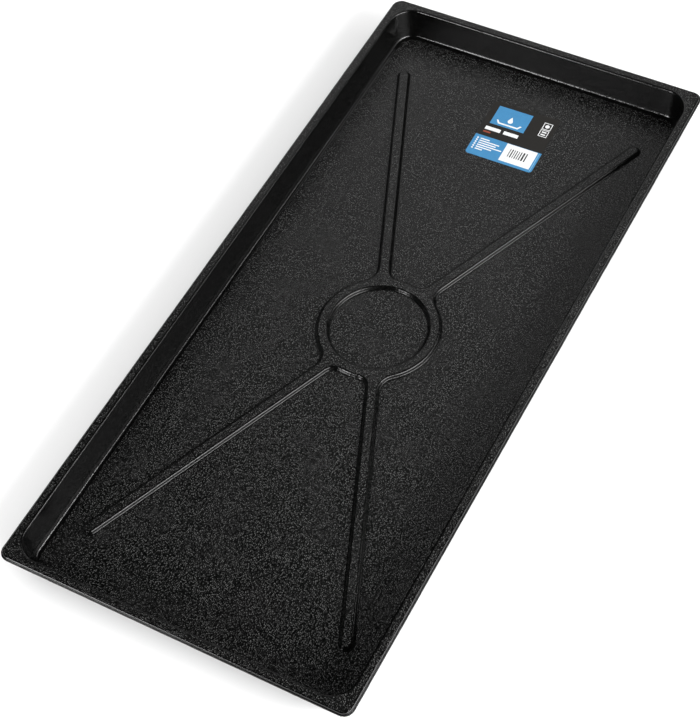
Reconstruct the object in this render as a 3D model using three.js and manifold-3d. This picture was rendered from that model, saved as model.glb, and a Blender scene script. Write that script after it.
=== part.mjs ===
// Shallow drip tray for a garage or workshop floor: one vacuum-formed sheet of black
// plastic, and the printed label stuck to its floor.
// Millimetres. X runs across the tray, Y along it, Z is up. The origin is the middle of
// the face the tray rests on.

import * as THREE from 'three';
import { mergeVertices } from 'three/addons/utils/BufferGeometryUtils.js';
import Module from 'manifold-3d';

// ---------- driving dimensions ----------

// Whole tray
const RIM_WIDTH = 495;
const RIM_LENGTH = 1083;
const HEIGHT = 52;
const SHEET = 3;

// Rim, with a short skirt that ends in a trimmed lip
const RIM_CORNER_RADIUS = 13;
const RIM_INSET = 12.6;
const RIM_OUTER_ROUND = 1.6;
const RIM_INNER_ROUND = 3;
const SKIRT_DROP = 3;
const SKIRT_FLARE = 0.7;
const SKIRT_INNER_INSET = 2.8;
const LIP_REACH = 2.5;
const LIP_THICKNESS = 2;

// Basin, whose walls lean in towards the floor
const WALL_DRAFT = 5.5;
const BASIN_CORNER_RADIUS = 33;
const FOOT_ROUND = 6;

// Raised bead on the floor: a ring with four spokes
const RING_RADIUS = 77;
const SPOKE_END_X = 187;
const SPOKE_END_Y = 440;
const BEAD_HEIGHT = 4.6;
const BEAD_FOOT_HALF_WIDTH = 9.6;
const BEAD_TOP_HALF_WIDTH = 6.4;
const NOTCH_FILLET_REACH = 26;
const SIDE_FILLET_REACH = 34;

// Label
const LABEL_WIDTH = 105;
const LABEL_LENGTH = 111;
const LABEL_THICKNESS = 0.25;
const LABEL_CORNER_RADIUS = 2;
const LABEL_CENTRE_X = 15.6;
const LABEL_CENTRE_Y = 396.5;
const LABEL_TURN_DEGREES = 0.9;

// Facets
const CORNER_SEGMENTS = 8;
const SPOKE_SEGMENTS = 8;
const NOTCH_SEGMENTS = 3;
const SIDE_SEGMENTS = 14;
const RING_SEGMENTS = 48;

// ---------- outlines ----------

// Points of an arc from one angle to another, both ends included.
function arc(centreX, centreY, radius, from, to, segments) {
  const points = [];
  for (let i = 0; i <= segments; i += 1) {
    const angle = from + (to - from) * (i / segments);
    points.push(new THREE.Vector2(
      centreX + radius * Math.cos(angle),
      centreY + radius * Math.sin(angle),
    ));
  }
  return points;
}

function roundedRectangle(halfWidth, halfLength, radius, segments) {
  const points = [];
  for (let quarter = 0; quarter < 4; quarter += 1) {
    const signX = quarter === 0 || quarter === 3 ? 1 : -1;
    const signY = quarter < 2 ? 1 : -1;
    const start = quarter * Math.PI / 2;
    points.push(...arc(
      signX * (halfWidth - radius), signY * (halfLength - radius),
      radius, start, start + Math.PI / 2, segments,
    ));
  }
  return points;
}

// The tray's outline at a distance inside the rim's outer edge.
function trayLoop(inset, cornerRadius) {
  return roundedRectangle(
    RIM_WIDTH / 2 - inset, RIM_LENGTH / 2 - inset, cornerRadius, CORNER_SEGMENTS,
  );
}

// One spoke of the bead, with the fillets that join it to the ring on both sides, as a
// stretch of the outline in counterclockwise order. A fillet's centre lies at its reach
// from the middle line of both the spoke and the ring, whatever the bead's width is.
function spokeOutline(direction, halfWidth, reachBefore, reachAfter) {
  const spokeLength = Math.hypot(SPOKE_END_X, SPOKE_END_Y);
  const quarterTurn = Math.PI / 2;

  const filletCentre = (reach, side) => {
    const distance = RING_RADIUS + reach;
    const angle = direction + side * Math.asin(reach / distance);
    return { x: distance * Math.cos(angle), y: distance * Math.sin(angle), angle };
  };

  const before = filletCentre(reachBefore, -1);
  const after = filletCentre(reachAfter, 1);
  return [
    ...arc(before.x, before.y, reachBefore - halfWidth,
      before.angle + Math.PI, direction + quarterTurn, SPOKE_SEGMENTS),
    ...arc(spokeLength * Math.cos(direction), spokeLength * Math.sin(direction), halfWidth,
      direction - quarterTurn, direction + quarterTurn, SPOKE_SEGMENTS),
    ...arc(after.x, after.y, reachAfter - halfWidth,
      direction - quarterTurn, after.angle - Math.PI, SPOKE_SEGMENTS),
  ];
}

// The bead's outer outline and the round opening inside its ring, for one half width.
function beadOutlines(halfWidth) {
  const lean = Math.atan2(SPOKE_END_Y, SPOKE_END_X);
  const spokes = [
    { direction: lean, notchFollows: true },
    { direction: Math.PI - lean, notchFollows: false },
    { direction: Math.PI + lean, notchFollows: true },
    { direction: 2 * Math.PI - lean, notchFollows: false },
  ];
  const outer = [];
  for (const { direction, notchFollows } of spokes) {
    const reachBefore = notchFollows ? SIDE_FILLET_REACH : NOTCH_FILLET_REACH;
    const reachAfter = notchFollows ? NOTCH_FILLET_REACH : SIDE_FILLET_REACH;
    outer.push(...spokeOutline(direction, halfWidth, reachBefore, reachAfter));

    const ringStart = direction + Math.asin(reachAfter / (RING_RADIUS + reachAfter));
    const ringMiddle = notchFollows
      ? direction + (Math.PI / 2 - lean)
      : direction + lean;
    const ringEnd = 2 * ringMiddle - ringStart;
    const segments = notchFollows ? NOTCH_SEGMENTS : SIDE_SEGMENTS;
    const ringArc = arc(0, 0, RING_RADIUS + halfWidth, ringStart, ringEnd, segments);
    outer.push(...ringArc.slice(1, -1));
  }
  const opening = arc(0, 0, RING_RADIUS - halfWidth, 2 * Math.PI, 0, RING_SEGMENTS).slice(0, -1);
  return [outer, opening];
}

// ---------- solids ----------

// Closed geometry through a list of levels. Each level has a height and the same number
// of outlines: the outer one counterclockwise, then any openings clockwise. The first
// level is closed facing down, the last one facing up.
function loft(levels) {
  const positions = [];
  const indices = [];
  const levelSize = levels[0].outlines.reduce((sum, outline) => sum + outline.length, 0);

  for (const { outlines, z } of levels) {
    for (const point of outlines.flat()) {
      positions.push(point.x, point.y, z);
    }
  }

  for (let level = 0; level + 1 < levels.length; level += 1) {
    let first = level * levelSize;
    for (const outline of levels[level].outlines) {
      for (let i = 0; i < outline.length; i += 1) {
        const here = first + i;
        const next = first + (i + 1) % outline.length;
        indices.push(here, next, next + levelSize);
        indices.push(here, next + levelSize, here + levelSize);
      }
      first += outline.length;
    }
  }

  const capTriangles = ({ outlines }) => {
    const [outer, ...openings] = outlines;
    return THREE.ShapeUtils.triangulateShape(outer, openings);
  };
  const lastLevel = (levels.length - 1) * levelSize;
  for (const [a, b, c] of capTriangles(levels[0])) {
    indices.push(a, c, b);
  }
  for (const [a, b, c] of capTriangles(levels[levels.length - 1])) {
    indices.push(lastLevel + a, lastLevel + b, lastLevel + c);
  }

  const geometry = new THREE.BufferGeometry();
  geometry.setAttribute('position', new THREE.Float32BufferAttribute(positions, 3));
  geometry.setIndex(indices);
  return geometry;
}

// The formed sheet without its bead. The levels start under the floor, follow the
// outside of the wall up to the lip, turn over the rim and come down inside the basin.
function makeShell() {
  const levels = [];
  const addLevel = (inset, z, cornerRadius) => {
    levels.push({ outlines: [trayLoop(inset, cornerRadius)], z });
  };
  const outerCorner = (inset) => RIM_CORNER_RADIUS - inset;
  const basinCorner = (inset) => BASIN_CORNER_RADIUS + RIM_INSET - inset;

  // The wall leans by this angle, and the rounds at its two ends turn it to the level.
  const lean = Math.atan2(WALL_DRAFT, HEIGHT - SHEET);
  const roundTurn = Math.PI / 2 - lean;
  const wallInsetAt = (z) => RIM_INSET + (HEIGHT - z) * Math.tan(lean);

  // Centre of a round that touches the wall and a level face, radius above the face.
  const underside = FOOT_ROUND + SHEET;
  const footCentreInset = wallInsetAt(SHEET) + FOOT_ROUND * Math.tan(roundTurn / 2);
  const footCentreZ = SHEET + FOOT_ROUND;
  const rimCentreInset = RIM_INSET - RIM_INNER_ROUND * Math.tan(roundTurn / 2);
  const rimCentreZ = HEIGHT - RIM_INNER_ROUND;

  // Underside of the floor and outside of the wall
  for (const { x, y } of arc(footCentreInset, footCentreZ, underside,
    -Math.PI / 2, -Math.PI / 2 - roundTurn, 5)) {
    addLevel(x, y, basinCorner(x));
  }
  const rimUnderZ = HEIGHT - SHEET;
  const outsideTop = wallInsetAt(rimUnderZ) - SHEET / Math.cos(lean);
  addLevel(outsideTop, rimUnderZ, basinCorner(outsideTop));

  // Inside of the skirt, and the lip
  const lipTopZ = HEIGHT - SKIRT_DROP;
  const lipUnderZ = lipTopZ - LIP_THICKNESS;
  addLevel(SKIRT_INNER_INSET, rimUnderZ, outerCorner(SKIRT_INNER_INSET));
  addLevel(SKIRT_INNER_INSET, lipUnderZ, outerCorner(SKIRT_INNER_INSET));
  addLevel(-LIP_REACH, lipUnderZ, outerCorner(-LIP_REACH));
  addLevel(-LIP_REACH, lipTopZ, outerCorner(-LIP_REACH));
  addLevel(-SKIRT_FLARE, lipTopZ, outerCorner(-SKIRT_FLARE));

  // Outer and inner edges of the rim
  for (const { x, y } of arc(RIM_OUTER_ROUND, HEIGHT - RIM_OUTER_ROUND, RIM_OUTER_ROUND,
    Math.PI, Math.PI / 2, 3)) {
    addLevel(x, y, outerCorner(x));
  }
  for (const { x, y } of arc(rimCentreInset, rimCentreZ, RIM_INNER_ROUND,
    Math.PI / 2, Math.PI / 2 - roundTurn, 4)) {
    addLevel(x, y, basinCorner(x));
  }

  // Inside of the wall down to the floor
  for (const { x, y } of arc(footCentreInset, footCentreZ, FOOT_ROUND,
    -Math.PI / 2 - roundTurn, -Math.PI / 2, 5)) {
    addLevel(x, y, basinCorner(x));
  }
  return loft(levels);
}

// The bead as a solid that is sunk into the floor a little, so that the two join.
function makeBead() {
  const sunk = SHEET / 2;
  return loft([
    { outlines: beadOutlines(BEAD_FOOT_HALF_WIDTH), z: SHEET - sunk },
    { outlines: beadOutlines(BEAD_FOOT_HALF_WIDTH), z: SHEET },
    { outlines: beadOutlines(BEAD_TOP_HALF_WIDTH), z: SHEET + BEAD_HEIGHT },
  ]);
}

// The groove under the bead, which keeps the sheet's thickness all round.
function makeGroove() {
  const run = BEAD_FOOT_HALF_WIDTH - BEAD_TOP_HALF_WIDTH;
  const slope = Math.atan2(BEAD_HEIGHT, run);
  const narrower = SHEET * Math.tan(slope / 2);
  const below = 1;
  return loft([
    { outlines: beadOutlines(BEAD_FOOT_HALF_WIDTH - narrower), z: -below },
    { outlines: beadOutlines(BEAD_FOOT_HALF_WIDTH - narrower), z: 0 },
    { outlines: beadOutlines(BEAD_TOP_HALF_WIDTH - narrower), z: BEAD_HEIGHT },
  ]);
}

function makeLabel() {
  const outline = roundedRectangle(
    LABEL_WIDTH / 2, LABEL_LENGTH / 2, LABEL_CORNER_RADIUS, 4,
  );
  return new THREE.ExtrudeGeometry(new THREE.Shape(outline), {
    depth: LABEL_THICKNESS,
    bevelEnabled: false,
  });
}

// ---------- joining and cutting ----------

const wasm = await Module();
wasm.setup();

function toSolid(geometry) {
  const welded = mergeVertices(geometry);
  return new wasm.Manifold(new wasm.Mesh({
    numProp: 3,
    vertProperties: new Float32Array(welded.attributes.position.array),
    triVerts: new Uint32Array(welded.index.array),
  }));
}

function toGeometry(solid) {
  const mesh = solid.getMesh();
  const geometry = new THREE.BufferGeometry();
  geometry.setAttribute('position', new THREE.BufferAttribute(mesh.vertProperties, 3));
  geometry.setIndex(new THREE.BufferAttribute(mesh.triVerts, 1));
  geometry.computeVertexNormals();
  return geometry;
}

// ---------- the tray ----------

const blackPlastic = new THREE.MeshStandardMaterial({
  color: 0x1c1c1c,
  roughness: 0.5,
  metalness: 0,
});
const printedLabel = new THREE.MeshStandardMaterial({
  color: 0x1f1e1c,
  roughness: 0.35,
  metalness: 0,
});

const shell = toSolid(makeShell()).add(toSolid(makeBead())).subtract(toSolid(makeGroove()));
const trayShell = new THREE.Mesh(toGeometry(shell), blackPlastic);
trayShell.name = 'tray_shell';

const productLabel = new THREE.Mesh(makeLabel(), printedLabel);
productLabel.name = 'product_label';
productLabel.position.set(LABEL_CENTRE_X, LABEL_CENTRE_Y, SHEET);
productLabel.rotation.z = THREE.MathUtils.degToRad(LABEL_TURN_DEGREES);

const dripTray = new THREE.Group();
dripTray.add(trayShell, productLabel);

export default dripTray;
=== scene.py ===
import math

import bpy
import numpy as np
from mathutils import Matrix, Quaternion, Vector, noise
from mathutils.geometry import delaunay_2d_cdt


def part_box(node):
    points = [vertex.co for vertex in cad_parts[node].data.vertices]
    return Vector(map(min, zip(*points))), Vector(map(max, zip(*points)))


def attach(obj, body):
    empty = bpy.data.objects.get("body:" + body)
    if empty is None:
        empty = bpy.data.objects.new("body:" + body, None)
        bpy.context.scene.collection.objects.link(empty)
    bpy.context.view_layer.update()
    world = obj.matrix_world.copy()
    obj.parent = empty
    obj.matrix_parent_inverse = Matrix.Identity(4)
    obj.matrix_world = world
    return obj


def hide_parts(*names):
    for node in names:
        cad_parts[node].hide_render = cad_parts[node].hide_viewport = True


# A shallow drip tray on a pale floor: one sheet of black, pebble-grained plastic, and the
# printed label on it. Metres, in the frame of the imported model: X across the tray, Y along
# it towards the label, Z up, with the origin in the middle of the face it rests on.

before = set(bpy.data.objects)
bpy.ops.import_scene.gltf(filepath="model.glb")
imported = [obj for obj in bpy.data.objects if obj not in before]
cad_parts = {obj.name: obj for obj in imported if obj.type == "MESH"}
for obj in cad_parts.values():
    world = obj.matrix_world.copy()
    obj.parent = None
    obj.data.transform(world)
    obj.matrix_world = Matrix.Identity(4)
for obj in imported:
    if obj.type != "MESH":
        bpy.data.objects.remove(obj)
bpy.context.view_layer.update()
_, shell_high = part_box("tray_shell")
label_low, label_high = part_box("product_label")

MM = 0.001

# ---------- driving dimensions ----------

# Whole tray
SHEET = 3 * MM
LIP_REACH = 2.5 * MM
HALF_WIDTH = shell_high.x - LIP_REACH
HALF_LENGTH = shell_high.y - LIP_REACH
HEIGHT = shell_high.z

# Rim, skirt and lip
RIM_CORNER_RADIUS = 13 * MM
RIM_INSET = 12.6 * MM
RIM_INNER_ROUND = 3 * MM
RIM_OUTER_ROUND = 1.8 * MM
RIM_UNDER_ROUND = 1.5 * MM
SKIRT_ROUND = 0.7 * MM
SKIRT_TOP_INSET = 0.3 * MM
SKIRT_FOOT_INSET = -0.7 * MM
SKIRT_INNER_INSET = 2.8 * MM
LIP_TOP = HEIGHT - 3 * MM
LIP_UNDER = LIP_TOP - 2 * MM
LIP_TOP_ROUND = 0.4 * MM
LIP_UNDER_ROUND = 0.3 * MM
LIP_JOINT_ROUND = 0.6 * MM

# Basin
WALL_DRAFT = 5.5 * MM
BASIN_CORNER_RADIUS = 33 * MM
FOOT_ROUND = 6 * MM

# Raised bead on the floor: a ring with four spokes
RING_RADIUS = 77 * MM
SPOKE_END_X = 187 * MM
SPOKE_END_Y = 440 * MM
BEAD_HEIGHT = 4.6 * MM
BEAD_FOOT_HALF_WIDTH = 9.3 * MM
BEAD_TOP_HALF_WIDTH = 6.9 * MM
BEAD_FOOT_ROUND = 2.0 * MM
BEAD_TOP_ROUND = 2.8 * MM
BEAD_UNDER_ROUND = 0.4 * MM
BEAD_CREST_HALF_WIDTH = 3.2 * MM
NOTCH_FILLET_REACH = 26 * MM
SIDE_FILLET_REACH = 34 * MM

# The formed sheet isn't quite flat
FLOOR_WAVE = 0.5 * MM
FLOOR_WAVE_LENGTH = 170 * MM
FLOOR_WAVE_FROM = 24 * MM
FLOOR_WAVE_FULL = 70 * MM
WALL_WAVE = 0.35 * MM
WALL_WAVE_LENGTH = 240 * MM
WALL_WAVE_FROM = 8 * MM
WALL_REACH = 40 * MM
WALL_REACH_FULL = 25 * MM
LIP_UNEVENNESS = 0.25 * MM
LIP_WAVE_LENGTH = 18 * MM

# Label
LABEL_WIDTH = 105 * MM
LABEL_LENGTH = 111 * MM
LABEL_THICKNESS = label_high.z - label_low.z
LABEL_CORNER_RADIUS = 4.5 * MM
LABEL_CENTRE = (label_low + label_high) / 2
LABEL_TURN = math.radians(0.9)
FILM_GAP = 0.02 * MM
FILM_RELIEF = 0.05 * MM

# How much of the floor's pebble grain is left where the sheet was stretched; the same values scale the
# painted glints (painted highlights) in the plastic's colour
RIM_GRAIN = 0.95
WALL_GRAIN = 0.3
EDGE_GRAIN = 0.3
BEAD_GRAIN = 0.4

# Mesh fineness
GUARD = 0.35 * MM
GRID_CLEARANCE = 0.45
FLOOR_STEP = 13 * MM
LABEL_STEP = 9 * MM
CORNER_SEGMENTS = 14
LONG_SIDE_SEGMENTS = 80
SHORT_SIDE_SEGMENTS = 34
SPOKE_SEGMENTS = 30
SPOKE_CAP_SEGMENTS = 16
FILLET_SEGMENTS = 10
RING_SEGMENTS = 96


# ---------- outlines ----------


def arc(centre_x, centre_y, radius, start, end, segments):
    """Points of an arc from one angle to another, both ends included."""
    angles = np.linspace(start, end, segments + 1)
    return np.column_stack((centre_x + radius * np.cos(angles), centre_y + radius * np.sin(angles)))


def between(first, last, segments):
    """Points that divide a straight stretch, without its ends."""
    shares = np.linspace(0, 1, segments + 1)[1:-1, None]
    return first + (last - first) * shares


def rounded_rectangle(half_width, half_length, radius, corner_segments, long_segments, short_segments):
    """Counterclockwise outline that starts where the right side meets the upper right corner."""
    corners = []
    for quarter in range(4):
        sign_x = 1 if quarter in (0, 3) else -1
        sign_y = 1 if quarter < 2 else -1
        start = quarter * math.pi / 2
        corners.append(arc(
            sign_x * (half_width - radius), sign_y * (half_length - radius),
            radius, start, start + math.pi / 2, corner_segments,
        ))
    stretches = []
    for quarter, corner in enumerate(corners):
        segments = short_segments if quarter % 2 == 0 else long_segments
        stretches.append(corner)
        stretches.append(between(corner[-1], corners[(quarter + 1) % 4][0], segments))
    return np.vstack(stretches)


def tray_loop(inset, corner_radius):
    """The tray's outline at a distance inside the rim's outer edge."""
    return rounded_rectangle(
        HALF_WIDTH - inset, HALF_LENGTH - inset, corner_radius,
        CORNER_SEGMENTS, LONG_SIDE_SEGMENTS, SHORT_SIDE_SEGMENTS,
    )


def spoke_outline(direction, half_width, reach_before, reach_after):
    """One spoke with the fillets that join it to the ring, as a stretch of the outline."""
    length = math.hypot(SPOKE_END_X, SPOKE_END_Y)

    def fillet(reach, side):
        distance = RING_RADIUS + reach
        angle = direction + side * math.asin(reach / distance)
        return distance * math.cos(angle), distance * math.sin(angle), angle

    before_x, before_y, before_angle = fillet(reach_before, -1)
    after_x, after_y, after_angle = fillet(reach_after, 1)
    right, left = direction - math.pi / 2, direction + math.pi / 2
    first = arc(before_x, before_y, reach_before - half_width,
                before_angle + math.pi, left, FILLET_SEGMENTS)
    cap = arc(length * math.cos(direction), length * math.sin(direction), half_width,
              right, left, SPOKE_CAP_SEGMENTS)
    last = arc(after_x, after_y, reach_after - half_width,
               right, after_angle - math.pi, FILLET_SEGMENTS)
    return np.vstack((
        first, between(first[-1], cap[0], SPOKE_SEGMENTS),
        cap, between(cap[-1], last[0], SPOKE_SEGMENTS), last,
    ))


def bead_outlines(half_width):
    """The bead's outer outline and, clockwise, the round opening in its ring."""
    lean = math.atan2(SPOKE_END_Y, SPOKE_END_X)
    spokes = ((lean, True), (math.pi - lean, False), (math.pi + lean, True), (2 * math.pi - lean, False))
    stretches = []
    for direction, notch_follows in spokes:
        before = SIDE_FILLET_REACH if notch_follows else NOTCH_FILLET_REACH
        after = NOTCH_FILLET_REACH if notch_follows else SIDE_FILLET_REACH
        stretches.append(spoke_outline(direction, half_width, before, after))
        start = direction + math.asin(after / (RING_RADIUS + after))
        middle = direction + (math.pi / 2 - lean if notch_follows else lean)
        end = 2 * middle - start
        segments = max(3, round(RING_SEGMENTS * (end - start) / (2 * math.pi)))
        stretches.append(arc(0, 0, RING_RADIUS + half_width, start, end, segments)[1:-1])
    opening = arc(0, 0, RING_RADIUS - half_width, 2 * math.pi, 0, RING_SEGMENTS)[:-1]
    return np.vstack(stretches), opening


# ---------- sections ----------


def rounded_path(corners):
    """Points along a section whose corners are rounded, as (across, z, grain, tag). A corner
    is (across, z, radius, segments, grain on the round, grain after it, tag); the first and
    the last one are ends. A guard point close to each end of a round keeps the flat next to
    it flat when it is shaded smooth."""
    points = []

    def add(place, grain, tag):
        points.append((place[0], place[1], grain, tag))

    ends = [np.array(corner[:2], float) for corner in corners]
    add(ends[0], *corners[0][5:])
    for i in range(1, len(corners) - 1):
        radius, segments, grain, grain_after, tag = corners[i][2:]
        grain_before = corners[i - 1][5]
        arriving = ends[i] - ends[i - 1]
        leaving = ends[i + 1] - ends[i]
        arriving /= np.linalg.norm(arriving)
        leaving /= np.linalg.norm(leaving)
        cross = arriving[0] * leaving[1] - arriving[1] * leaving[0]
        turn = math.atan2(cross, float(arriving @ leaving))
        tangent = radius * math.tan(abs(turn) / 2)
        start = ends[i] - arriving * tangent
        side = math.copysign(1, turn)
        centre = start + side * radius * np.array((-arriving[1], arriving[0]))
        add(start - arriving * GUARD, grain_before, tag)
        for angle in np.linspace(0, turn, segments + 1):
            spoke = start - centre
            cosine, sine = math.cos(angle), math.sin(angle)
            turned = (cosine * spoke[0] - sine * spoke[1], sine * spoke[0] + cosine * spoke[1])
            add(centre + turned, grain, tag)
        add(ends[i] + leaving * (tangent + GUARD), grain_after, tag)
    add(ends[-1], *corners[-1][5:])
    return points


def shell_section():
    """From the underside of the floor out and up the wall, round the lip, over the rim and
    down to the floor inside. A tag is (corner family, cut edge)."""
    lean = math.atan2(WALL_DRAFT, HEIGHT - SHEET)

    def inside_at(z):
        return RIM_INSET + (HEIGHT - z) * math.tan(lean)

    def outside_at(z):
        return inside_at(z) - SHEET / math.cos(lean)

    rim_under = HEIGHT - SHEET
    floor_end = inside_at(SHEET) + 3 * FOOT_ROUND
    basin, rim, trimmed = ("basin", 0.0), ("rim", 0.0), ("rim", 1.0)
    return rounded_path((
        (floor_end, 0, 0, 0, 0, 0, basin),
        (outside_at(0), 0, FOOT_ROUND + SHEET, 10, 0, 0, basin),
        (outside_at(rim_under), rim_under, RIM_UNDER_ROUND, 4, 0, 0, basin),
        (SKIRT_INNER_INSET, rim_under, SKIRT_ROUND, 3, 0, 0, rim),
        (SKIRT_INNER_INSET, LIP_UNDER, SKIRT_ROUND, 3, 0, 0, rim),
        (-LIP_REACH, LIP_UNDER, LIP_UNDER_ROUND, 2, EDGE_GRAIN, EDGE_GRAIN, trimmed),
        (-LIP_REACH, LIP_TOP, LIP_TOP_ROUND, 2, EDGE_GRAIN, EDGE_GRAIN, trimmed),
        (SKIRT_FOOT_INSET, LIP_TOP, LIP_JOINT_ROUND, 3, EDGE_GRAIN, WALL_GRAIN, rim),
        (SKIRT_TOP_INSET, HEIGHT, RIM_OUTER_ROUND, 6, EDGE_GRAIN, RIM_GRAIN, rim),
        (RIM_INSET, HEIGHT, RIM_INNER_ROUND, 8, EDGE_GRAIN, WALL_GRAIN, basin),
        (inside_at(SHEET), SHEET, FOOT_ROUND, 10, EDGE_GRAIN, 1, basin),
        (floor_end, SHEET, 0, 0, 1, 1, basin),
    ))


def bead_section(floor, grain, narrower, foot_round, top_round):
    """Up one side of the bead: half widths and heights from its foot to its top."""
    foot = BEAD_FOOT_HALF_WIDTH - narrower
    top = BEAD_TOP_HALF_WIDTH - narrower
    return rounded_path((
        (foot + foot_round, floor, 0, 0, 0, grain, None),
        (foot, floor, foot_round, 7, BEAD_GRAIN * grain, BEAD_GRAIN * grain, None),
        (top, floor + BEAD_HEIGHT, top_round, 7, BEAD_GRAIN * grain, grain, None),
        (min(top - 0.6 * top_round, BEAD_CREST_HALF_WIDTH), floor + BEAD_HEIGHT, 0, 0, 0, grain, None),
    ))


# ---------- mesh making ----------


class Sheet:
    """Gathers vertices with their grain and cut-edge values, and faces."""

    def __init__(self):
        self.points = []
        self.grain = []
        self.cut = []
        self.faces = []

    def add_loop(self, outline, z, grain, cut):
        """Adds the outline's points at one height and returns their indices."""
        first = len(self.points)
        for x, y in outline:
            self.points.append((x, y, z))
        self.grain.extend([grain] * len(outline))
        self.cut.extend([cut] * len(outline))
        return np.arange(first, first + len(outline))

    def bridge(self, lower, upper, flip=False):
        """Joins two loops of the same length with quads."""
        for i in range(len(lower)):
            j = (i + 1) % len(lower)
            face = (lower[i], lower[j], upper[j], upper[i])
            self.faces.append(tuple(int(v) for v in (face[::-1] if flip else face)))

    def fill(self, loops, z, grain, step, keep, flip=False):
        """Fills the flat area between loops with triangles, over a grid of new points that
        stay a little away from the loops. keep says which points lie in the area."""
        edge = np.array([self.points[i][:2] for loop in loops for i in loop])
        ids = [int(i) for loop in loops for i in loop]
        edges = []
        first = 0
        for loop in loops:
            edges += [(first + i, first + (i + 1) % len(loop)) for i in range(len(loop))]
            first += len(loop)
        inner = grid_points(edge, step, keep) if step else np.empty((0, 2))
        ids += [int(i) for i in self.add_loop(inner, z, grain, 0.0)]
        places = [Vector(p) for p in np.vstack((edge, inner))]
        verts, _, faces, orig, _, _ = delaunay_2d_cdt(places, edges, [], 0, 1e-9)
        verts = np.array(verts)
        inside = keep(verts[np.array(faces)].mean(axis=1))
        for face, wanted in zip(faces, inside):
            if wanted:
                corners = [ids[orig[v][0]] for v in face]
                self.faces.append(tuple(corners[::-1] if flip else corners))

    def mesh(self, name, reshape):
        mesh = bpy.data.meshes.new(name)
        mesh.from_pydata(reshape(np.array(self.points)).tolist(), [], self.faces)
        for key, values in (("grain", self.grain), ("cut", self.cut)):
            mesh.attributes.new(key, "FLOAT", "POINT").data.foreach_set("value", values)
        mesh.validate()
        mesh.shade_smooth()
        return mesh


def grid_points(edge, step, keep):
    """Staggered grid over the edge's box, kept where it is in the area and clear of the edge."""
    low, high = edge.min(axis=0), edge.max(axis=0)
    rows = []
    for row, y in enumerate(np.arange(low[1] + step / 2, high[1], step)):
        shift = step / 2 if row % 2 else 0
        x = np.arange(low[0] + step / 2 + shift, high[0], step)
        rows.append(np.column_stack((x, np.full(len(x), y))))
    points = np.vstack(rows)
    points = points[keep(points)]
    distance = np.full(len(points), np.inf)
    for start in range(0, len(edge), 256):
        gaps = points[:, None] - edge[None, start:start + 256]
        distance = np.minimum(distance, np.hypot(gaps[..., 0], gaps[..., 1]).min(axis=1))
    return points[distance > step * GRID_CLEARANCE]


def inside_outline(outline):
    """A test for points inside a closed outline."""
    x0, y0 = outline.T
    x1, y1 = np.roll(outline, -1, axis=0).T

    def test(points):
        px, py = points[:, 0, None], points[:, 1, None]
        crosses = (y0 > py) != (y1 > py)
        slope = np.where(y1 == y0, 1, y1 - y0)
        at = x0 + (py - y0) * (x1 - x0) / slope
        return (crosses & (px < at)).sum(axis=1) % 2 == 1

    return test


def smooth_step(value, low, high):
    share = np.clip((value - low) / (high - low), 0, 1)
    return share * share * (3 - 2 * share)


def noise_at(points, wave_length, seed):
    """Soft noise from about -1 to 1 at each point."""
    offset = Vector((seed * 7.31, seed * 3.17, seed * 5.53))
    return np.array([noise.noise(Vector(p) / wave_length + offset) for p in points.tolist()])


def formed(points):
    """Bends the true shape as a formed sheet bends: the floor lifts a little off the ground
    between its edges, and the walls and the rim run slightly uneven."""
    inset = np.minimum(HALF_WIDTH - np.abs(points[:, 0]), HALF_LENGTH - np.abs(points[:, 1]))
    plan = points * (1, 1, 0)
    on_floor = smooth_step(inset, FLOOR_WAVE_FROM, FLOOR_WAVE_FULL)
    lift = FLOOR_WAVE * (0.5 + 0.5 * noise_at(plan, FLOOR_WAVE_LENGTH, 1))
    up_the_wall = smooth_step(points[:, 2], WALL_WAVE_FROM, HEIGHT)
    at_the_lip = smooth_step(-inset, 0, LIP_REACH)
    moved = points.copy()
    moved[:, 2] += on_floor * np.clip(lift, 0, None)
    trim = LIP_UNEVENNESS * noise_at(plan, LIP_WAVE_LENGTH, 2) * at_the_lip - LIP_UNEVENNESS * at_the_lip
    for axis, half in ((0, HALF_WIDTH), (1, HALF_LENGTH)):
        near_side = smooth_step(np.abs(points[:, axis]), half - WALL_REACH, half - WALL_REACH_FULL)
        bow = WALL_WAVE * noise_at(plan, WALL_WAVE_LENGTH, 3 + axis) * up_the_wall * near_side
        side = np.sign(points[:, axis])
        at_side = smooth_step(np.abs(points[:, axis]), half - 1 * MM, half)
        moved[:, axis] += side * (np.minimum(bow, 0) + trim * at_side)
    return moved


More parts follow.
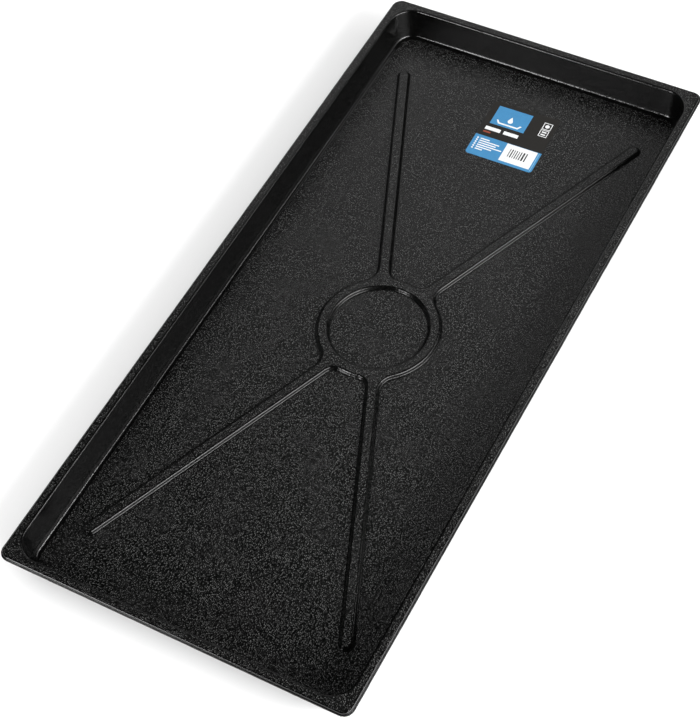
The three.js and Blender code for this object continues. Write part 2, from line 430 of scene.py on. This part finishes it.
def make_tray():
    """The whole formed sheet: its section swept round the outline, and both sides of the floor."""
    sheet = Sheet()
    loops = []
    for inset, z, grain, (family, cut) in shell_section():
        radius = RIM_CORNER_RADIUS - inset
        if family == "basin":
            radius = BASIN_CORNER_RADIUS + RIM_INSET - inset
        loops.append(sheet.add_loop(tray_loop(inset, radius), z, grain, cut))
    for lower, upper in zip(loops, loops[1:]):
        sheet.bridge(lower, upper)

    slope = math.atan2(BEAD_HEIGHT, BEAD_FOOT_HALF_WIDTH - BEAD_TOP_HALF_WIDTH)
    narrower = SHEET * math.tan(slope / 2)
    sides = (
        (SHEET, 1.0, False, loops[-1], bead_section(SHEET, 1, 0, BEAD_FOOT_ROUND, BEAD_TOP_ROUND)),
        (0.0, 0.0, True, loops[0], bead_section(
            0, 0, narrower, BEAD_FOOT_ROUND + SHEET, max(BEAD_TOP_ROUND - SHEET, BEAD_UNDER_ROUND))),
    )
    for floor, grain, flip, border, section in sides:
        outlines = [bead_outlines(half_width) for half_width, _, _, _ in section]
        outer, opening = [], []
        for (around, hole), (_, z, bead_grain, _) in zip(outlines, section):
            outer.append(sheet.add_loop(around, z, bead_grain, 0.0))
            opening.append(sheet.add_loop(hole, z, bead_grain, 0.0))
        for chain in (outer, opening):
            for lower, upper in zip(chain, chain[1:]):
                sheet.bridge(lower, upper, flip)
        in_border = inside_outline(np.array([sheet.points[i][:2] for i in border]))
        in_foot = inside_outline(outlines[0][0])
        in_top = inside_outline(outlines[-1][0])
        foot_opening = inside_outline(outlines[0][1])
        top_opening = inside_outline(outlines[-1][1])
        sheet.fill([border, outer[0]], floor, grain, FLOOR_STEP,
                   lambda p: in_border(p) & ~in_foot(p), flip)
        sheet.fill([opening[0]], floor, grain, FLOOR_STEP, foot_opening, flip)
        sheet.fill([outer[-1], opening[-1]], floor + BEAD_HEIGHT, grain, 0,
                   lambda p: in_top(p) & ~top_opening(p), flip)
    return sheet.mesh("formed_tray", formed)


# ---------- label ----------


def bar(left, low, right, high):
    return [(left, low), (right, low), (right, high), (left, high)]


def disk(x, y, radius, segments=14):
    return [tuple(p) for p in arc(x, y, radius, 0, 2 * math.pi, segments)[:-1]]


def drop(x, y, radius, height):
    """A drop of oil: a round belly with its tip straight above."""
    belly = arc(x, y, radius, math.pi * 0.88, math.pi * 2.12, 16)
    return [tuple(p) for p in belly] + [(x, y + height)]


def frame_icon(left, low, size, stroke):
    """A square frame: a pale square with a dark one on it."""
    outer = bar(left, low, left + size, low + size)
    inner = bar(left + stroke, low + stroke, left + size - stroke, low + size - stroke)
    return [("white", outer), ("film", inner)]


def label_print():
    """Each ink and outline, in the order of printing, in millimetres from the label's
    middle. The marks are plain bars and pictograms and spell nothing."""
    print_order = []

    # Upper blue panel: a drop over a tray
    print_order.append(("blue", bar(-42.9, 10.9, 11.2, 48.4)))
    print_order.append(("white", drop(-15.8, 24.6, 3.9, 9.2)))
    print_order.append(("white", [
        (-36, 21.5), (-31.4, 14.6), (-0.2, 14.6), (4.4, 21.5),
        (1.6, 21.5), (-1.6, 17.2), (-30, 17.2), (-33.2, 21.5),
    ]))

    # Title bars, with a small orange one under them
    print_order.append(("white", bar(-45, -2.3, -21, 4.2)))
    print_order.append(("white", bar(-16, -2.3, 7.1, 4.2)))
    print_order.append(("orange", bar(-45, -8.5, -33.6, -5.6)))

    # Two framed pictograms
    for low in (15.5, 30.1):
        print_order += frame_icon(31.9, low, 13.4, 1.1)
    print_order.append(("white", disk(38.6, 36.8, 3.4)))
    for low in (18.6, 23.4):
        print_order.append(("white", bar(35, low, 42.2, low + 2.4)))

    # Lower blue band, which runs out to the film's edge: six rows, each with a dot
    beyond, row_step = 60, 4.2
    print_order.append(("blue", bar(-beyond, -beyond, beyond, -15.5)))
    for row, right in enumerate((-27.5, -10.6, -14.3, -3.5, -17.9, -30.6)):
        y = -22 - row_step * row
        print_order.append(("white", disk(-46.4, y, 1.5, 10)))
        print_order.append(("white", bar(-42.1, y - 1, right, y + 1)))

    # White block: upright bars, with one dashed line above them and two below
    print_order.append(("white", bar(-1.2, -50.7, 46.9, -16)))
    x, bar_gap = 7.5, 2.1
    for width in (1.2, 1.8, 1.1, 1.4, 1.2, 1.6, 2.6, 1.8):
        print_order.append(("black", bar(x, -40.1, x + width, -23.9)))
        x += width + bar_gap
    dash_step, dash_length, dash_height = 5.6, 4, 0.9
    for low, first, dashes in ((-20.6, 22, 4), (-45.2, 6, 6), (-48.2, 6, 6)):
        for i in range(dashes):
            left = first + dash_step * i
            print_order.append(("grey", bar(left, low, left + dash_length, low + dash_height)))

    # Pale line at the band's right end
    print_order.append(("pale_blue", bar(48.9, -53, 49.9, -17)))
    return print_order


def make_label(inks):
    """A thin film that lies on the uneven floor, with its faces cut along every mark."""
    half_width, half_length = LABEL_WIDTH / 2 / MM, LABEL_LENGTH / 2 / MM
    radius = LABEL_CORNER_RADIUS / MM
    film = rounded_rectangle(half_width, half_length, radius, 6, 4, 4)
    layers = [("film", [tuple(p) for p in film])] + label_print()
    places, outlines = [], []
    for _, outline in layers:
        outlines.append(list(range(len(places), len(places) + len(outline))))
        places += outline
    grid = grid_points(film, LABEL_STEP / MM, inside_outline(film))
    places = [Vector(p) for p in places + grid.tolist()]
    verts, _, faces, _, _, covers = delaunay_2d_cdt(places, [], outlines, 1, 1e-4)

    flat = np.array([(v.x, v.y, 0) for v in verts]) * MM
    cosine, sine = math.cos(LABEL_TURN), math.sin(LABEL_TURN)
    turn = np.array(((cosine, sine, 0), (-sine, cosine, 0), (0, 0, 0)))
    low = flat @ turn + (LABEL_CENTRE.x, LABEL_CENTRE.y, SHEET + FILM_GAP)
    high = low + (0, 0, LABEL_THICKNESS - FILM_GAP)

    count = len(verts)
    top, ink = [], []
    for face, layer_numbers in zip(faces, covers):
        if 0 in layer_numbers:
            top.append(tuple(face))
            ink.append(inks.index(layers[max(layer_numbers)][0]))
    owner = {(face[i], face[(i + 1) % 3]): n for n, face in enumerate(top) for i in range(3)}
    rim = [(edge, n) for edge, n in owner.items() if edge[::-1] not in owner]
    under = [tuple(v + count for v in face[::-1]) for face in top]
    walls = [(b, a, a + count, b + count) for (a, b), _ in rim]

    used = sorted({v for face in top + under for v in face})
    renumber = {v: i for i, v in enumerate(used)}
    faces = [tuple(renumber[v] for v in face) for face in top + under + walls]
    mesh = bpy.data.meshes.new("printed_label")
    mesh.from_pydata(formed(np.vstack((high, low)))[used].tolist(), [], faces)
    ink_of_face = ink + [inks.index("film")] * len(under) + [ink[n] for _, n in rim]
    mesh.polygons.foreach_set("material_index", ink_of_face)
    mesh.shade_flat()
    mesh.validate()
    return mesh


# ---------- materials ----------


def new_material(name):
    material = bpy.data.materials.new(name)
    material.use_nodes = True
    return material, Nodes(material.node_tree)


class Nodes:
    """Short ways to add and link shader nodes."""

    def __init__(self, tree):
        self.tree = tree

    def add(self, kind, **settings):
        node = self.tree.nodes.new("ShaderNode" + kind)
        for key, value in settings.items():
            setattr(node, key, value)
        return node

    def link(self, source, target):
        self.tree.links.new(source, target)

    def put(self, socket, value):
        """Links a socket's source, or sets its plain value."""
        if isinstance(value, bpy.types.NodeSocket):
            self.link(value, socket)
        else:
            socket.default_value = value

    def math(self, operation, first, second=0.0):
        node = self.add("Math", operation=operation)
        self.put(node.inputs[0], first)
        self.put(node.inputs[1], second)
        return node.outputs[0]

    def noise(self, place, size, detail=2.0, roughness=0.5):
        node = self.add("TexNoise")
        self.link(place, node.inputs["Vector"])
        node.inputs["Scale"].default_value = 1 / size
        node.inputs["Detail"].default_value = detail
        node.inputs["Roughness"].default_value = roughness
        return node.outputs["Fac"]

    def cells(self, place, size, smoothness):
        """Distance from the middle of the nearest cell, rounded where cells meet."""
        node = self.add("TexVoronoi", feature="SMOOTH_F1")
        self.link(place, node.inputs["Vector"])
        node.inputs["Scale"].default_value = 1 / size
        node.inputs["Smoothness"].default_value = smoothness
        return node.outputs["Distance"]

    def span(self, value, from_low, from_high, to_low, to_high):
        node = self.add("MapRange")
        self.link(value, node.inputs["Value"])
        for key, number in (("From Min", from_low), ("From Max", from_high),
                            ("To Min", to_low), ("To Max", to_high)):
            node.inputs[key].default_value = number
        return node.outputs["Result"]

    def blend(self, share, first, second):
        """Mixes two colours."""
        node = self.add("Mix", data_type="RGBA")
        self.put(node.inputs["Factor"], share)
        for socket, colour in ((node.inputs[6], first), (node.inputs[7], second)):
            self.put(socket, colour if isinstance(colour, bpy.types.NodeSocket) else (*colour, 1))
        return node.outputs[2]

    def attribute(self, name):
        return self.add("Attribute", attribute_name=name).outputs["Fac"]

    def place(self):
        return self.add("TexCoord").outputs["Object"]

    def bump(self, height, distance):
        node = self.add("Bump")
        node.inputs["Distance"].default_value = distance
        self.link(height, node.inputs["Height"])
        return node.outputs["Normal"]

    def surface(self):
        return self.tree.nodes["Principled BSDF"].inputs


PEBBLE = 2.15 * MM
PEBBLE_RELIEF = 0.3 * MM
PEBBLE_RANDOMNESS = 0.75
WALL_STRETCH = 0.35
FINE_GRAIN = 0.9 * MM
FINE_SHARE = 0.3
SMOOTH_SIDE_WAVE = 6 * MM
SMOOTH_SIDE_SHARE = 0.2
CLOUD = 140 * MM
WEAR = 60 * MM
CUT_ROUGHNESS = 0.25
PLASTIC_IOR = 1.5
BLACK = (0.0006, 0.0006, 0.0006)
BLACK_FADED = (0.0014, 0.0014, 0.0013)
# Painted highlight: the pale colour of the painted glints on the pebbles' tops
PAINTED_GLINT = (0.118, 0.118, 0.116)
TRIMMED_EDGE = (0.01, 0.01, 0.01)


def tray_plastic():
    """Black pebble-grained plastic. The mesh says where the grain is full and where the sheet is cut."""
    material, nodes = new_material("tray_plastic")
    place = nodes.place()
    grain = nodes.attribute("grain")
    cut = nodes.attribute("cut")

    # Pebbles: domes a few millimetres apart, each with its own random number.
    # On the walls they are drawn out upwards, as the sheet is.
    drawn = nodes.add("VectorMath", operation="MULTIPLY")
    nodes.link(place, drawn.inputs[0])
    drawn.inputs[1].default_value = (1, 1, WALL_STRETCH)
    cells = nodes.add("TexVoronoi", feature="F1")
    nodes.link(drawn.outputs[0], cells.inputs["Vector"])
    cells.inputs["Scale"].default_value = 1 / PEBBLE
    cells.inputs["Randomness"].default_value = PEBBLE_RANDOMNESS
    dome = nodes.span(cells.outputs["Distance"], 0.15, 0.75, 1, 0)
    own = nodes.add("SeparateColor")
    nodes.link(cells.outputs["Color"], own.inputs[0])
    fine = nodes.noise(place, FINE_GRAIN, detail=2.0, roughness=0.6)

    # Colour: slow differences in depth, painted glints (pale painted highlights on the pebbles' tops,
    # standing in for their sparkle) that die out where the sheet was stretched, and a paler trimmed edge.
    cloud = nodes.noise(place, CLOUD, detail=4.0)
    colour = nodes.blend(nodes.span(cloud, 0.35, 0.65, 0, 1), BLACK, BLACK_FADED)
    # Painted highlight mask: a pale spot on each pebble's top, of random strength, weaker where the grain is
    painted_glint = nodes.span(own.outputs[0], 0, 1, 0.2, 1)
    painted_glint = nodes.math("MULTIPLY", painted_glint, nodes.math("POWER", dome, 4.0))
    painted_glint = nodes.math("MULTIPLY", painted_glint, nodes.math("POWER", grain, 2.0))
    colour = nodes.blend(painted_glint, colour, PAINTED_GLINT)
    colour = nodes.blend(cut, colour, TRIMMED_EDGE)

    # Relief: the domes with a finer roughness on them; the underside is nearly smooth.
    textured = nodes.math("ADD", dome, nodes.math("MULTIPLY", fine, FINE_SHARE))
    smooth_side = nodes.math(
        "MULTIPLY", nodes.noise(place, SMOOTH_SIDE_WAVE, detail=2.0), SMOOTH_SIDE_SHARE)
    height = nodes.math("ADD", nodes.math("MULTIPLY", textured, grain), smooth_side)

    # Gloss: the tops of the pebbles are glossier than the hollows between them, stretched
    # plastic is glossier still, and the cut edge is dull.
    shine = nodes.span(dome, 0, 1, 0.27, 0.19)
    worn = nodes.span(nodes.noise(place, WEAR, detail=3.0), 0.3, 0.7, -0.02, 0.03)
    stretched = nodes.span(grain, 0, 1, -0.15, 0)
    roughness = nodes.math("ADD", nodes.math("ADD", shine, worn), nodes.math("MULTIPLY", cut, CUT_ROUGHNESS))
    roughness = nodes.math("ADD", roughness, stretched)

    surface = nodes.surface()
    nodes.link(colour, surface["Base Color"])
    nodes.link(roughness, surface["Roughness"])
    surface["IOR"].default_value = PLASTIC_IOR
    nodes.link(nodes.bump(height, PEBBLE_RELIEF), surface["Normal"])
    return material


BLOTCH = 7 * MM
FILM_GRAIN = 0.8 * MM
DARKER = 0.86
FILM_SPECULAR = 0.25

INKS = {
    "film": (0.0165, 0.015, 0.0135),
    "blue": (0.045, 0.205, 0.4),
    "pale_blue": (0.19, 0.38, 0.56),
    "white": (0.7, 0.71, 0.71),
    "orange": (0.25, 0.05, 0.028),
    "black": (0.012, 0.012, 0.013),
    "grey": (0.62, 0.6, 0.6),
}


def printed_film(name, colour):
    """Printed film: the pebbles under it show through faintly."""
    material, nodes = new_material("label_" + name)
    place = nodes.place()
    blotch = nodes.noise(place, BLOTCH, detail=4.0)
    fine = nodes.noise(place, FILM_GRAIN, detail=2.0)
    darker = tuple(DARKER * part for part in colour)
    uneven = nodes.span(nodes.math("ADD", blotch, fine), 0.7, 1.3, 0, 1)
    pebbles = nodes.cells(place, PEBBLE, 0.5)
    surface = nodes.surface()
    nodes.link(nodes.blend(uneven, darker, colour), surface["Base Color"])
    nodes.link(nodes.span(blotch, 0.3, 0.7, 0.42, 0.56), surface["Roughness"])
    surface["Specular IOR Level"].default_value = FILM_SPECULAR
    nodes.link(nodes.bump(nodes.math("ADD", pebbles, fine), FILM_RELIEF), surface["Normal"])
    return material


def floor_paint():
    material, nodes = new_material("studio_floor")
    surface = nodes.surface()
    surface["Base Color"].default_value = (0.9, 0.9, 0.9, 1)
    surface["Roughness"].default_value = 0.8
    surface["Specular IOR Level"].default_value = 0.1
    return material


# ---------- scene ----------


def add_object(name, data):
    piece = bpy.data.objects.new(name, data)
    bpy.context.scene.collection.objects.link(piece)
    return piece


tray = add_object("formed_tray", make_tray())
tray.data.materials.append(tray_plastic())
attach(tray, "root")
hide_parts("tray_shell")

label = add_object("printed_label", make_label(list(INKS)))
for ink_name, ink_colour in INKS.items():
    label.data.materials.append(printed_film(ink_name, ink_colour))
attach(label, "root")
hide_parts("product_label")

# ---------- floor ----------

FLOOR_SIZE = 30.0
floor_mesh = bpy.data.meshes.new("studio_floor")
corner = FLOOR_SIZE / 2
floor_mesh.from_pydata(
    [(-corner, -corner, 0), (corner, -corner, 0), (corner, corner, 0), (-corner, corner, 0)],
    [], [(0, 1, 2, 3)],
)
studio_floor = add_object("studio_floor", floor_mesh)
studio_floor.data.materials.append(floor_paint())

# ---------- camera ----------

CAMERA_AIM = Vector((-11.9, -60.5, 3.0)) * MM
CAMERA_AZIMUTH = 33.98
CAMERA_ELEVATION = 53.82
CAMERA_ROLL = -7.16
CAMERA_DISTANCE = 2.4769
CAMERA_LENS = 92.07


def direction(azimuth, elevation):
    """Unit vector from the tray: azimuth 0 is towards -Y and 90 towards +X, in degrees."""
    a, e = math.radians(azimuth), math.radians(elevation)
    return Vector((math.sin(a) * math.cos(e), -math.cos(a) * math.cos(e), math.sin(e)))


camera_data = bpy.data.cameras.new("camera")
camera_data.lens = CAMERA_LENS
camera_data.sensor_width = 36
camera_data.clip_end = 60
camera = add_object("camera", camera_data)
back = direction(CAMERA_AZIMUTH, CAMERA_ELEVATION)
camera.location = CAMERA_AIM + back * CAMERA_DISTANCE
camera.rotation_mode = "QUATERNION"
roll = Quaternion((0, 0, 1), math.radians(CAMERA_ROLL))
camera.rotation_quaternion = (-back).to_track_quat("-Z", "Y") @ roll
bpy.context.scene.camera = camera

# ---------- light ----------

SURROUND = 0.82


def softbox(name, azimuth, elevation, distance, width, height, radiance):
    """An area light that faces the tray, whose face has this radiance."""
    data = bpy.data.lights.new(name, "AREA")
    data.shape = "RECTANGLE"
    data.size = width
    data.size_y = height
    data.energy = radiance * width * height * math.pi
    light = add_object(name, data)
    back = direction(azimuth, elevation)
    light.location = back * distance
    light.rotation_mode = "QUATERNION"
    light.rotation_quaternion = (-back).to_track_quat("-Z", "Y")


softbox("side_softbox", 78, 29, 3.0, 2.8, 1.2, 12.2)
softbox("front_softbox", -25, 20, 3.0, 0.6, 1.3, 16.0)
softbox("far_softbox", 204, 40, 2.0, 1.3, 0.9, 0.97)
softbox("fold_softbox", 122, 30, 3.0, 1.7, 0.4, 7.0)

# A pale surround fills in the floor and the label. It is hidden from reflections, so the
# black plastic doesn't mirror it.
world = bpy.data.worlds.new("studio")
world.use_nodes = True
world.node_tree.nodes["Background"].inputs["Color"].default_value = (1, 1, 1, 1)
world.node_tree.nodes["Background"].inputs["Strength"].default_value = SURROUND
bpy.context.scene.world = world
world.cycles_visibility.glossy = False
bpy.context.scene.view_settings.view_transform = "Standard"
